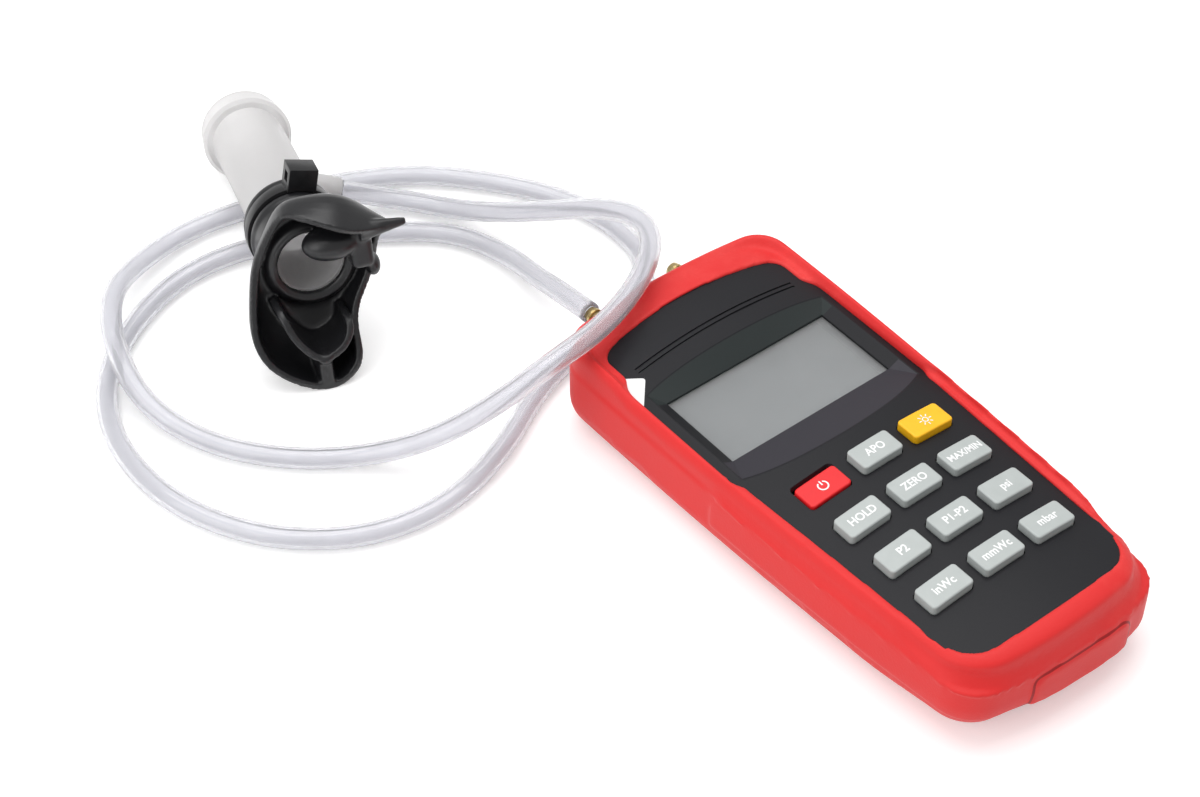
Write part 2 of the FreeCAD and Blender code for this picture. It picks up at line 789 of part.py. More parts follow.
def inner_hose(x):
    hose = rod(hose_radius, (x, hose_inner_end, port_height), (0, 1, 0),
               port_inner_end + 6 - hose_inner_end)
    hose = hose.cut(rod(port_stem_radius, (x, port_inner_end, port_height), (0, 1, 0), 9))
    bore = rod(sensor_nipple_radius, (x, hose_inner_end - 1, port_height), (0, 1, 0), 20)
    return hose.cut(bore)


def face_sticker():
    x = -opening_half_title - sticker_tuck + sticker_width / 2
    y = opening_title_end - sticker_length / 2 - 1.0
    label = slab(sticker_width, sticker_length, sticker_corner, x, y, case_split, boot_height)
    label = label.common(crown(face_height + sticker_thickness)).cut(crown(face_height))
    return label.cut(rubber_boot())


# Tube: straight runs joined by tangent arcs
def tube_edges(points):
    corners = [Vector(*p) for p in points]
    edges = []
    radii = []
    start = corners[0]
    for before, here, after in zip(corners, corners[1:], corners[2:]):
        back = before - here
        ahead = after - here
        shorter = min(back.Length, ahead.Length)
        half_turn = (math.pi - back.getAngle(ahead)) / 2
        reach = 0.45 * shorter
        radius = reach / math.tan(half_turn)
        back.normalize()
        ahead.normalize()
        enter = here + back * reach
        leave = here + ahead * reach
        inward = (back + ahead).normalize()
        middle = here + inward * (radius / math.cos(half_turn) - radius)
        edges.append(Part.LineSegment(start, enter).toShape())
        edges.append(Part.Arc(enter, middle, leave).toShape())
        start = leave
        radii.append(radius)
    edges.append(Part.LineSegment(start, corners[-1]).toShape())
    return edges, radii


def pressure_tube(end_point, barb):
    edges, radii = tube_edges(tube_route + [end_point])
    path = Part.Wire(edges)
    first = Vector(*tube_route[0])
    direction = Vector(*tube_route[1]) - first
    profile = Part.Wire(Part.makeCircle(tube_radius, first, direction))
    tube = path.makePipeShell([profile], True, False)
    length = sum(edge.Length for edge in edges)
    section = math.pi * tube_radius ** 2
    print("tube radii", " ".join(f"{radius:.0f}" for radius in radii))
    print(f"tube length {length:.1f}, volume over section times length",
          f"{tube.Volume / (section * length):.4f}")
    sleeve_start = port_shoulder_start + port_shoulder_length + tube_sleeve_gap
    sleeve = rod(tube_radius, (first.x, sleeve_start, first.z), (0, 1, 0), first.y - sleeve_start)
    return tube.fuse(sleeve).cut(barb)


# Adapter and mouthpiece are built along Z and then laid down
def laid_down(shape):
    lean = Rotation(Vector(1, 0, 0), 90 - adapter_tilt)
    turn = Rotation(Vector(0, 0, 1), adapter_heading)
    rest = rim_far_radius * math.cos(math.radians(adapter_tilt))
    rest -= rim_edge * math.sin(math.radians(adapter_tilt))
    place = Placement(Vector(adapter_place[0], adapter_place[1], rest), turn * lean)
    laid = shape.copy()
    laid.Placement = place.multiply(laid.Placement)
    return laid


spigot_axis = (math.cos(math.radians(spigot_turn)), math.sin(math.radians(spigot_turn)), 0)


def revolved(points):
    wire = Part.makePolygon([Vector(r, 0, z) for r, z in points + points[:1]])
    return Part.Face(wire).revolve(Vector(0, 0, 0), Vector(0, 0, 1), 360)


def adapter():
    body = revolved([(socket_radius, 0), (rim_far_radius - rim_edge, 0),
                     (rim_far_radius, rim_edge),
                     (rim_radius, rim_length - rim_edge), (rim_radius - rim_edge, rim_length),
                     (barrel_radius, rim_length), (barrel_radius, barrel_end),
                     (barrel_bore, barrel_end), (barrel_bore, socket_depth),
                     (socket_radius, socket_depth)])
    spigot = rod(spigot_radius, (0, 0, spigot_at), spigot_axis, spigot_length)
    body = body.fuse(spigot.cut(rod(barrel_bore + 0.5, (0, 0, 0), (0, 0, 1), barrel_end)))
    body = body.cut(rod(spigot_bore, (0, 0, spigot_at), spigot_axis, spigot_length - 1))
    return body


def curl_profile(radius_offset):
    """Arc in the Y-Z plane, hollow side towards the mouth."""
    half = shield_half_length
    radius = (half ** 2 + shield_curl ** 2) / (2 * shield_curl)
    centre = shield_back + radius
    return radius - radius_offset, centre


def mouthpiece():
    neck = revolved([(barrel_radius, neck_start), (neck_radius, neck_start),
                     (neck_radius, neck_groove_start), (neck_groove_radius, neck_groove_start),
                     (neck_groove_radius, neck_groove_start + neck_groove_width),
                     (neck_radius, neck_groove_start + neck_groove_width),
                     (neck_radius, neck_end), (neck_radius + 2.5, shield_back + 5),
                     (barrel_radius, shield_back + 5)])
    outer_radius, centre = curl_profile(0)
    inner_radius, centre = curl_profile(shield_wall)
    outer = rod(outer_radius, (-40, -shield_drop, centre), (1, 0, 0), 80)
    inner = rod(inner_radius, (-40, -shield_drop, centre), (1, 0, 0), 80)
    plan = slab(2 * shield_half_width, 2 * shield_half_length, shield_corner, 0, -shield_drop,
                shield_back - 2, shield_back + shield_curl)
    shield = outer.cut(inner).common(plan)
    body = neck.cut(inner).fuse(shield)
    for side in (-1, 1):
        y = -shield_drop + side * (bite_from + bite_width / 2)
        web = box(-bite_thickness / 2, bite_thickness / 2, y - bite_width / 2, y + bite_width / 2,
                  shield_back, shield_back + shield_wall + bite_reach)
        web = web.common(outer)
        knob_y = -shield_drop + side * bite_from
        knob = rod(bite_knob_radius, (0, knob_y, shield_back + shield_wall + 5), (0, 0, 1),
                   bite_reach - 5)
        knob = knob.makeFillet(1.2, level_edges(knob, shield_back + shield_wall + bite_reach))
        body = body.fuse(web).fuse(knob)
    body = body.cut(rod(mouth_bore, (0, 0, barrel_end), (0, 0, 1), 30 - 10))
    return body.cut(rod(barrel_radius, (0, 0, neck_start), (0, 0, 1), barrel_end - neck_start))


def cable_tie():
    low = neck_groove_start + (neck_groove_width - tie_width) / 2
    outer_radius = neck_groove_radius + tie_thickness
    band = revolved([(neck_groove_radius, low), (outer_radius, low),
                     (outer_radius, low + tie_width), (neck_groove_radius, low + tie_width)])
    head = box(neck_groove_radius + 0.4, outer_radius + tie_head_height, -tie_head_length / 2,
               tie_head_length / 2, low - (tie_head_width - tie_width) / 2,
               low + tie_width + (tie_head_width - tie_width) / 2)
    head = head.cut(rod(neck_radius + 0.2, (0, 0, 0), (0, 0, 1), 200))
    slot = box(outer_radius + 1.2, outer_radius + 1.2 + tie_slot, -20, 20,
               low + tie_width / 2 - tie_slot / 2, low + tie_width / 2 + tie_slot / 2)
    head = head.cut(slot)
    head.rotate(Vector(0, 0, 0), Vector(0, 0, 1), tie_head_angle)
    return band.fuse(head)


def save(name, shape):
    solids = shape.Solids
    shape = solids[0] if len(solids) == 1 else Part.makeCompound(solids)
    if not shape.isValid():
        print("not valid:", name)
    shape.exportStep(f"parts/{name}.step")
    print(f"{name:16s} solids {len(solids)} volume {shape.Volume:9.1f}")
    return shape


save("rubber_boot", rubber_boot())
save("front_case", front_case())
save("rear_case", rear_case())
save("battery_door", battery_door())
save("battery_cells", battery_cells())
save("battery_contacts", battery_contacts())
save("circuit_board", circuit_board())
save("keypad_mat", keypad_mat())
save("display_window", display_window())
save("lcd_panel", lcd_panel())
save("lcd_frame", lcd_frame())
save("contact_strips", contact_strips())
for key_name, key_x, key_y in key_places():
    save(f"key_{key_name}", key_cap(key_name, key_x, key_y))
left_port = save("port_p1", pressure_port(-port_offset))
save("port_p2", pressure_port(port_offset))
save("port_nuts", port_nuts())
save("sensor_p1", pressure_sensor(-port_offset))
save("sensor_p2", pressure_sensor(port_offset))
save("hose_p1", inner_hose(-port_offset))
save("hose_p2", inner_hose(port_offset))
save("case_screws", group([pan_screw(x, y, screw_head_top, screw_head_radius - 0.2,
                                     screw_head_height, screw_radius, screw_length)
                           for x, y in case_screw_places]))
save("board_screws", group([pan_screw(x, y, board_top - board_thickness, board_screw_head_radius,
                                      board_screw_head_height, board_screw_radius,
                                      board_screw_length) for x, y in board_screw_places]))
save("door_screw", pan_screw(0, door_screw_y, boot_back + 1.2, screw_head_radius - 0.2, 1.2,
                             screw_radius, 6.0))
save("face_sticker", face_sticker())
adapter_solid = save("adapter", laid_down(adapter()))
save("mouthpiece", laid_down(mouthpiece()))
save("cable_tie", laid_down(cable_tie()))
spigot_tip = laid_down(rod(0.1, tuple(spigot_length * a for a in spigot_axis[:2]) + (spigot_at,),
                           spigot_axis, 0.1))
tip = spigot_tip.CenterOfMass
print("spigot tip", tip)
save("pressure_tube", pressure_tube((tip.x, tip.y, tip.z), left_port))
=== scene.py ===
import math

import bmesh
import bpy
from mathutils import Matrix, Vector


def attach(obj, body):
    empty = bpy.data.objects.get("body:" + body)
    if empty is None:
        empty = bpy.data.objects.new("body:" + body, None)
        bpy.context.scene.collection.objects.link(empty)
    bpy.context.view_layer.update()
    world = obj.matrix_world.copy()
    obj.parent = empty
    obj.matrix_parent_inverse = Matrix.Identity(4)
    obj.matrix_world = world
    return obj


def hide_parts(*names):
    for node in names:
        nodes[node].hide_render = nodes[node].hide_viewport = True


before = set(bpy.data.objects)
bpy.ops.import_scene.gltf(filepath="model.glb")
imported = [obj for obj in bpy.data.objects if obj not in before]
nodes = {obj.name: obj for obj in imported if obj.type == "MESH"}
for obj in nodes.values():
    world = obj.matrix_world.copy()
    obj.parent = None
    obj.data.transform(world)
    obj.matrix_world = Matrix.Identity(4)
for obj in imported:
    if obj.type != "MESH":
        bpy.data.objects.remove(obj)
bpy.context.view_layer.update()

# Studio: a white table under a broad soft light, seen from above the left side of the meter.
# The floor glows a little towards the camera, so it is white and still takes a faint shadow.
scene = bpy.context.scene
scene.view_settings.view_transform = "Standard"

camera_at = Vector((-0.3361, -0.3227, 0.5043))
camera_right = Vector((0.78256, -0.62257, 0.00166))
camera_up = Vector((0.4409, 0.55608, 0.70455))
camera_data = bpy.data.cameras.new("camera")
camera_data.lens = 78.05
camera_data.sensor_width = 36.0
camera = bpy.data.objects.new("camera", camera_data)
camera_back = camera_right.cross(camera_up)
turned = Matrix((camera_right, camera_up, camera_back)).transposed()
camera.matrix_world = Matrix.Translation(camera_at) @ turned.to_4x4()
scene.collection.objects.link(camera)
scene.camera = camera


def soft_light(name, place, aim, size, watts):
    data = bpy.data.lights.new(name, "AREA")
    data.shape = "RECTANGLE"
    data.size, data.size_y = size
    data.energy = watts
    lamp = bpy.data.objects.new(name, data)
    lamp.location = place
    lamp.rotation_euler = (Vector(aim) - Vector(place)).to_track_quat("-Z", "Y").to_euler()
    scene.collection.objects.link(lamp)


soft_light("overhead", (0.05, 0.25, 1.1), (0, 0, 0), (1.2, 0.9), 9.0)
soft_light("left_side", (-1.0, 0.1, 0.6), (0, 0, 0), (0.8, 0.8), 4.0)

world = bpy.data.worlds.new("studio")
world.use_nodes = True
world_nodes = world.node_tree.nodes
world_shader = world_nodes["Background"]
world_shader.inputs["Color"].default_value = (1, 1, 1, 1)
paths = world_nodes.new("ShaderNodeLightPath")
seen = world_nodes.new("ShaderNodeMath")
seen.operation = "MAXIMUM"
level = world_nodes.new("ShaderNodeMapRange")
level.inputs["To Min"].default_value = 0.62
level.inputs["To Max"].default_value = 1.0
world.node_tree.links.new(paths.outputs["Is Camera Ray"], seen.inputs[0])
world.node_tree.links.new(paths.outputs["Is Transmission Ray"], seen.inputs[1])
world.node_tree.links.new(seen.outputs[0], level.inputs["Value"])
world.node_tree.links.new(level.outputs["Result"], world_shader.inputs["Strength"])
scene.world = world

bpy.ops.mesh.primitive_plane_add(size=6.0, location=(0, 0, 0))
table = bpy.context.object
table.name = "table"


# Every finish is a Principled shader with nodes for what varies over the surface. Maths on a
# socket is written as plain expressions.
class Socket:
    def __init__(self, finish, socket):
        self.finish = finish
        self.socket = socket

    def _maths(self, operation, *values):
        return self.finish.node("ShaderNodeMath", {"operation": operation},
                                dict(enumerate(values)))

    def __add__(self, other):
        return self._maths("ADD", self, other)

    def __mul__(self, other):
        return self._maths("MULTIPLY", self, other)

    def __sub__(self, other):
        return self._maths("SUBTRACT", self, other)

    def __rsub__(self, other):
        return self._maths("SUBTRACT", other, self)

    def __gt__(self, other):
        return self._maths("GREATER_THAN", self, other)

    def __lt__(self, other):
        return self._maths("LESS_THAN", self, other)

    def __abs__(self):
        return self._maths("ABSOLUTE", self)

    __radd__ = __add__
    __rmul__ = __mul__


class Finish:
    def __init__(self, name, **sockets):
        self.material = bpy.data.materials.new(name)
        self.material.use_nodes = True
        self.tree = self.material.node_tree
        self.shader = self.tree.nodes["Principled BSDF"]
        self.set(**sockets)

    def link(self, value, socket):
        if isinstance(value, Socket):
            self.tree.links.new(value.socket, socket)
        elif isinstance(value, tuple) and len(value) == 3 and len(socket.default_value) == 4:
            socket.default_value = (*value, 1.0)
        else:
            socket.default_value = value

    def node(self, kind, settings=None, values=None, output=0):
        made = self.tree.nodes.new(kind)
        for key, value in (settings or {}).items():
            if key == "stops":
                ramp = made.color_ramp
                ramp.elements[0].position, ramp.elements[0].color = value[0]
                ramp.elements[1].position, ramp.elements[1].color = value[-1]
                for place, colour in value[1:-1]:
                    ramp.elements.new(place).color = colour
            else:
                setattr(made, key, value)
        for key, value in (values or {}).items():
            self.link(value, made.inputs[key])
        return Socket(self, made.outputs[output])

    def set(self, **sockets):
        for key, value in sockets.items():
            label = key.replace("_", " ").title().replace("Ior", "IOR")
            self.link(value, self.shader.inputs[label])

    def place(self):
        return self.node("ShaderNodeTexCoord", output="Object")

    def axis(self, letter):
        return self.node("ShaderNodeSeparateXYZ", None, {0: self.place()}, output=letter)

    def noise(self, scale, detail=2.0, roughness=0.5):
        return self.node("ShaderNodeTexNoise", None,
                         {"Vector": self.place(), "Scale": scale, "Detail": detail,
                          "Roughness": roughness})

    def blend(self, factor, first, second):
        made = self.tree.nodes.new("ShaderNodeMix")
        made.data_type = "RGBA"
        self.link(factor, made.inputs[0])
        self.link(first, made.inputs[6])
        self.link(second, made.inputs[7])
        return Socket(self, made.outputs[2])

    def bump(self, height, strength, distance):
        normal = self.node("ShaderNodeBump", None,
                           {"Height": height, "Strength": strength, "Distance": distance})
        self.set(normal=normal)


def finish_of(*names, finish):
    for name in names:
        mesh = nodes[name].data
        mesh.materials.clear()
        mesh.materials.append(finish.material)


white_table = Finish("white table", base_color=(0.83, 0.83, 0.83), roughness=0.9)
glow = white_table.node("ShaderNodeLightPath", output="Is Camera Ray")
mirrored = white_table.node("ShaderNodeLightPath", output="Is Glossy Ray")
through = white_table.node("ShaderNodeLightPath", output="Is Transmission Ray")
white_table.set(emission_color=(1.0, 1.0, 1.0),
                emission_strength=(glow + mirrored + through) * 0.35)
table.data.materials.append(white_table.material)


# Clear silicone tube, 6 mm outside and 4 mm inside. It runs from the left port over the table in
# two loops, and its last loop lies over the corner of the boot on the way to the adapter.
tube_radius = 0.003
tube_wall = 0.001
tube_route = [
    (-0.0145, 0.0845, 0.0150), (-0.0145, 0.0960, 0.0136), (-0.0126, 0.1110, 0.0082),
    (-0.0105, 0.1275, 0.0036), (-0.0160, 0.1450, 0.0030), (-0.0300, 0.1570, 0.0030),
    (-0.0480, 0.1680, 0.0030), (-0.0690, 0.1780, 0.0030), (-0.0910, 0.1785, 0.0030),
    (-0.1120, 0.1690, 0.0030), (-0.1280, 0.1550, 0.0030), (-0.1370, 0.1360, 0.0030),
    (-0.1385, 0.1140, 0.0030), (-0.1330, 0.0940, 0.0030), (-0.1210, 0.0760, 0.0030),
    (-0.1020, 0.0630, 0.0030), (-0.0790, 0.0600, 0.0030), (-0.0560, 0.0680, 0.0030),
    (-0.0360, 0.0800, 0.0030), (-0.0140, 0.0860, 0.0030), (0.0070, 0.0900, 0.0030),
    (0.0205, 0.1020, 0.0030), (0.0220, 0.1210, 0.0030), (0.0170, 0.1400, 0.0030),
    (0.0050, 0.1580, 0.0030), (-0.0100, 0.1740, 0.0030), (-0.0300, 0.1852, 0.0030),
    (-0.0520, 0.1904, 0.0030), (-0.0760, 0.1945, 0.0032), (-0.0970, 0.1885, 0.0056),
    (-0.1120, 0.1760, 0.0120), (-0.1220, 0.1590, 0.0120), (-0.1250, 0.1390, 0.0052),
    (-0.1185, 0.1180, 0.0030), (-0.1050, 0.1000, 0.0030), (-0.0885, 0.0875, 0.0036),
    (-0.0745, 0.0745, 0.0120), (-0.0615, 0.0645, 0.0245), (-0.0475, 0.0590, 0.0352),
    (-0.0302, 0.0600, 0.0368), (-0.0132, 0.0665, 0.0368), (0.0015, 0.0770, 0.0366),
    (0.0075, 0.0900, 0.0345), (0.0055, 0.1050, 0.0285), (0.0000, 0.1200, 0.0200),
    (-0.0065, 0.1370, 0.0110), (-0.0112, 0.1525, 0.0042), (-0.0180, 0.1636, 0.0034),
    (-0.0269, 0.1715, 0.0050), (-0.0360, 0.1757, 0.0096),
]

route_curve = bpy.data.curves.new("tube route", "CURVE")
route_curve.dimensions = "3D"
route_spline = route_curve.splines.new("NURBS")
route_spline.points.add(len(tube_route) - 1)
for point, place in zip(route_spline.points, tube_route):
    point.co = (*place, 1.0)
route_spline.order_u = 3
route_spline.use_endpoint_u = True
route_spline.resolution_u = 14
tube = bpy.data.objects.new("tube", route_curve)
scene.collection.objects.link(tube)
centre_line = [v.co.copy() for v in bpy.data.meshes.new_from_object(tube).vertices]
route_curve.bevel_depth = tube_radius
route_curve.bevel_resolution = 9
bpy.ops.object.select_all(action="DESELECT")
tube.select_set(True)
bpy.context.view_layer.objects.active = tube
bpy.ops.object.convert(target="MESH")
tube = bpy.context.object
wall = tube.modifiers.new("wall", "SOLIDIFY")
wall.thickness = tube_wall
wall.offset = -1.0
bpy.ops.object.modifier_apply(modifier=wall.name)
bpy.ops.object.shade_smooth()
clear_silicone = Finish("clear silicone", ior=1.41, transmission_weight=0.78,
                        specular_ior_level=0.5)
clouded = clear_silicone.noise(120.0, 3.0)
clear_silicone.set(roughness=0.10 + clouded * 0.08,
                   base_color=clear_silicone.blend(clouded, (0.77, 0.77, 0.80), (0.84, 0.84, 0.87)))
tube.data.materials.clear()
tube.data.materials.append(clear_silicone.material)
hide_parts("pressure_tube")
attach(tube, "meter")

# Rubber boot: one red moulding that grips the meter, with a raised band round its lower part and
# a moulded flap at the bottom end. Its lips and edges are soft, because the rubber shrinks there.
boot_data = nodes["rubber_boot"].data.copy()
boot = bpy.data.objects.new("boot", boot_data)
scene.collection.objects.link(boot)


def choose(piece):
    bpy.ops.object.select_all(action="DESELECT")
    piece.select_set(True)
    bpy.context.view_layer.objects.active = piece


def apply_all(piece):
    choose(piece)
    for modifier in list(piece.modifiers):
        bpy.ops.object.modifier_apply(modifier=modifier.name)


def merge(piece, distance):
    choose(piece)
    bpy.ops.object.mode_set(mode="EDIT")
    bpy.ops.mesh.select_all(action="SELECT")
    bpy.ops.mesh.remove_doubles(threshold=distance)
    bpy.ops.object.mode_set(mode="OBJECT")


def smooth_step(value):
    value = max(0.0, min(1.0, value))
    return value * value * (3 - 2 * value)


def from_outside(x, y):
    """Distance in mm from the boot's upper outline to a point inside it."""
    along = (y + 4.45) / 76.05
    side = 34.9 + 2.7 * along - 1.6 * along * along - abs(x)
    end = min(y + 83.7 - 4.4 * (x / 31.8) ** 2, 73.3 - 2.9 * (x / 37.2) ** 2 - y)
    if side < 12 and end < 12:
        return 12 - math.hypot(12 - side, 12 - end)
    return min(side, end)


def face_height(x):
    return 29.2 - 208 + math.sqrt(208 ** 2 - x ** 2)


merge(boot, 0.000002)
moulded = boot.modifiers.new("moulded", "REMESH")
moulded.mode = "VOXEL"
moulded.voxel_size = 0.0006
apply_all(boot)

# The lips are pulled down on the crowned face and drawn back towards the walls, the bottom end
# slopes from the lip to the crease over the band, and the foot is drawn in at its corners.
lip_height = 30.2
lip_underside = 20.5
crease_height = 21.2
end_round = 9.0
for vertex in boot.data.vertices:
    x, y, z = (value * 1000 for value in vertex.co)
    inside = from_outside(x, y)
    low_end = smooth_step((-52 - y) / 14)
    keys_side = smooth_step((6 - y) / 8)
    if z > lip_underside:
        short_of_round = end_round - max(0.0, min(end_round, inside))
        soft_round = crease_height + math.sqrt(max(0.0, end_round ** 2 - short_of_round ** 2))
        wall = 1.6 - 0.8 * smooth_step((abs(x) - 14) / 6) - 0.52 * smooth_step((abs(x) - 24) / 4)
        under_lip = inside > wall and z < face_height(x) + 0.12
        skin = 2.6 + 1.6 * smooth_step((abs(x) - 18) / 8)
        z += (min(z, soft_round - skin * under_lip) - z) * low_end
        beside_display = 1.7 if x < 0 else 1.0
        drawn = beside_display + (2.8 - beside_display) * keys_side
        drawn *= smooth_step(inside / 5.0) * smooth_step((z - 22) / 4)
        drawn *= 1.0 - 0.4 * smooth_step((y - 42) / 6) - 0.4 * smooth_step((y - 56) / 6)
        slope_x = (from_outside(x + 0.5, y) - from_outside(x - 0.5, y))
        slope_y = (from_outside(x, y + 0.5) - from_outside(x, y - 0.5))
        x -= slope_x * drawn
        y -= slope_y * drawn
        near_lip = smooth_step((inside - 1.2) / 3.5)
        left_side = smooth_step(-x / 20) * smooth_step((50 - y) / 10)
        lowered = lip_height - min(lip_height, face_height(x) + 0.8)
        lowered *= smooth_step((z - lip_underside) / 7)
        z -= lowered * (near_lip + (1 - near_lip) * left_side * 0.8)
        flare = 0.9 * smooth_step((24.5 - z) / 4) * smooth_step(1 - inside / 1.5)
        flare *= smooth_step((12 - y) / 8)
        x += flare * (1 if x > 0 else -1) * smooth_step(abs(x) / 20)
        y -= flare * low_end
    foot = smooth_step((-45 - y) / 32) * smooth_step((15 - z) / 15)
    y += 3.2 * foot * smooth_step((2 - x) / 22)
    x += 1.8 * foot * smooth_step((-x - 10) / 20)
    bulge = smooth_step((x + 2) / 22) * smooth_step((-62 - y) / 16) * smooth_step((z - 1) / 8)
    bulge *= smooth_step((24 - z) / 5)
    x += 0.7 * bulge
    y -= 1.3 * bulge
    vertex.co = (x / 1000, y / 1000, z / 1000)
moulded = boot.modifiers.new("moulded", "REMESH")
moulded.mode = "VOXEL"
moulded.voxel_size = 0.00055
softened = boot.modifiers.new("softened", "SMOOTH")
softened.factor = 0.5
softened.iterations = 3
thinned = boot.modifiers.new("thinned", "DECIMATE")
thinned.ratio = 0.38
apply_all(boot)
for vertex in boot.data.vertices:
    vertex.co.z = max(vertex.co.z, 0.00003)
bpy.ops.object.shade_smooth()
red_rubber = Finish("red rubber", roughness=0.5, specular_ior_level=0.26, sheen_weight=0.05,
                    sheen_roughness=0.4)
mottle = red_rubber.noise(45.0, 4.0, 0.6)
dust = red_rubber.noise(800.0, 3.0, 0.7)
rub_stops = [(0.58, (0, 0, 0, 1)), (0.72, (1, 1, 1, 1))]
rubbed = red_rubber.node("ShaderNodeValToRGB", {"stops": rub_stops},
                         {0: red_rubber.noise(16.0, 5.0, 0.65)})
plain_red = red_rubber.blend(mottle, (0.66, 0.022, 0.022), (0.74, 0.031, 0.030))
# Painted shade: a dark line is painted in the groove round the flap at the bottom end.
flap_x = abs(red_rubber.axis(0) - 0.0025) - 0.0128
flap_z = abs(red_rubber.axis(2) - 0.0105) - 0.0060
nothing = red_rubber.node("ShaderNodeMath", {"operation": "MAXIMUM"}, {0: flap_x, 1: 0.0})
nothing_up = red_rubber.node("ShaderNodeMath", {"operation": "MAXIMUM"}, {0: flap_z, 1: 0.0})
corner_reach = red_rubber.node("ShaderNodeMath", {"operation": "SQRT"},
                               {0: nothing * nothing + nothing_up * nothing_up})
groove_shade = (abs(corner_reach - 0.0031) < 0.00028) * (red_rubber.axis(1) < -0.074)
rubber_colour = red_rubber.blend(rubbed * dust * 0.45, plain_red, (0.88, 0.14, 0.12))
red_rubber.set(base_color=red_rubber.blend(groove_shade * 0.8, rubber_colour, (0.22, 0.004, 0.006)),
               roughness=0.42 + mottle * 0.16 + rubbed * 0.08)
red_rubber.bump(red_rubber.noise(1500.0, 3.0, 0.6) + mottle * 0.5, 0.22, 0.0003)
boot.data.materials.clear()
boot.data.materials.append(red_rubber.material)
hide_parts("rubber_boot")
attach(boot, "meter")


# Case: two black mouldings, the face a shallow crown with a sloping recess round the display. The
# upper slope and the band under the display are painted lighter, as painted light; the slope is
# also rougher.
case_black = Finish("face plastic", specular_ior_level=0.22)
grain = case_black.noise(2600.0, 2.0, 0.6)
cloud = case_black.noise(30.0, 3.0)
across = case_black.axis(0)
depth = case_black.axis(1)
below_face = case_black.axis(2) + across * across * 2.404 < 0.02902
in_recess = below_face * (abs(across) < 0.0365) * (depth > -0.011) * (depth < 0.0485)
# Painted light: masks for the upper slope of the recess and the band under the display.
painted_light_upper_slope = in_recess * (depth > 0.0365)
painted_light_lower_band = in_recess * (depth < 0.0105)
face_colour = case_black.blend(cloud, (0.008, 0.008, 0.010), (0.012, 0.012, 0.015))
# Painted light: the upper slope and the lower band get lighter colours than the rest of the face.
face_colour = case_black.blend(painted_light_upper_slope, face_colour, (0.022, 0.028, 0.028))
face_colour = case_black.blend(painted_light_lower_band, face_colour, (0.034, 0.032, 0.040))
case_black.set(base_color=face_colour, roughness=0.38 + cloud * 0.1 + painted_light_upper_slope * 0.15)
case_black.bump(grain, 0.12, 0.0002)
finish_of("front_case", finish=case_black)

# The thick lip at the bottom end of the boot sits in a sloping rebate round the case
front = bpy.data.objects.new("front", nodes["front_case"].data.copy())
scene.collection.objects.link(front)
merge(front, 0.000002)
bpy.ops.object.select_all(action="DESELECT")
rebate_steps = 56
rebate_from = -54
halvings = 24
crown_top = 29.2
bpy.ops.mesh.primitive_circle_add(vertices=4, radius=0.01, fill_type="NOTHING")
rebate = bpy.context.object
cutter = bmesh.new()
profile = ((3.9, 28.2), (-1.5, 18.6), (-1.5, 34.0), (3.9, 34.0))
sections = []
for step in range(rebate_steps + 1):
    turn = -math.pi * step / rebate_steps
    heading = Vector((math.cos(turn), math.sin(turn)))
    section = []
    for inset, level in profile:
        near, far = 0.0, 60.0
        for _ in range(halvings):
            middle = (near + far) / 2
            place = Vector((0, rebate_from)) + heading * middle
            narrow = inset - 1.5 - smooth_step((abs(place.x) - 22) / 6)
            deepened = smooth_step((rebate_from - place.y) / 12)
            wanted = inset if inset < 0 else 1.5 + narrow * deepened
            if from_outside(place.x, place.y) > wanted:
                near = middle
            else:
                far = middle
        if inset > 0 and level < 30:
            level += min(0.0, face_height(place.x) - crown_top)
        section.append(cutter.verts.new((place.x / 1000, place.y / 1000, level / 1000)))
    sections.append(section)
for one, two in zip(sections, sections[1:]):
    for index in range(4):
        after = (index + 1) % 4
        cutter.faces.new((one[index], one[after], two[after], two[index]))
cutter.faces.new(sections[0])
cutter.faces.new(sections[-1][::-1])
bmesh.ops.recalc_face_normals(cutter, faces=cutter.faces)
cutter.to_mesh(rebate.data)
cutter.free()
cut_away = front.modifiers.new("cut away", "BOOLEAN")
cut_away.operation = "DIFFERENCE"
cut_away.solver = "EXACT"
cut_away.object = rebate
apply_all(front)
bpy.data.objects.remove(rebate)
bpy.ops.object.shade_smooth()
corner_normals = [None] * len(front.data.loops)
for face in front.data.polygons:
    for loop in face.loop_indices:
        across = front.data.vertices[front.data.loops[loop].vertex_index].co.x / 0.208
        crown = Vector((across, 0, math.sqrt(1 - across * across)))
        corner_normals[loop] = crown if face.normal.dot(crown) > 0.9985 else face.normal.copy()
front.data.normals_split_custom_set(corner_normals)
front.data.materials.clear()
front.data.materials.append(case_black.material)
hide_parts("front_case")
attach(front, "meter")


# Keys: hard caps that stand proud of the face, each with a printed word or sign. One is red and
# one yellow, and the other ten are grey.
def key_finish(name, dark, light):
    finish = Finish(name, specular_ior_level=0.4)
    shade = finish.noise(260.0, 3.0)
    finish.set(base_color=finish.blend(shade, dark, light), roughness=0.38 + shade * 0.14)
    finish.bump(finish.noise(3200.0, 2.0), 0.1, 0.0002)
    return finish


key_grey = key_finish("grey key", (0.40, 0.43, 0.42), (0.47, 0.50, 0.49))
finish_of(*[name for name in nodes if name.startswith("key_")], finish=key_grey)
finish_of("key_power", finish=key_finish("red key", (0.68, 0.008, 0.012), (0.80, 0.016, 0.02)))
finish_of("key_backlight",
          finish=key_finish("yellow key", (0.92, 0.45, 0.005), (0.98, 0.54, 0.015)))

white_print = Finish("white print", roughness=0.5)
worn = white_print.noise(1400.0, 3.0)
white_print.set(base_color=white_print.blend(worn, (0.80, 0.81, 0.81), (0.90, 0.90, 0.90)))


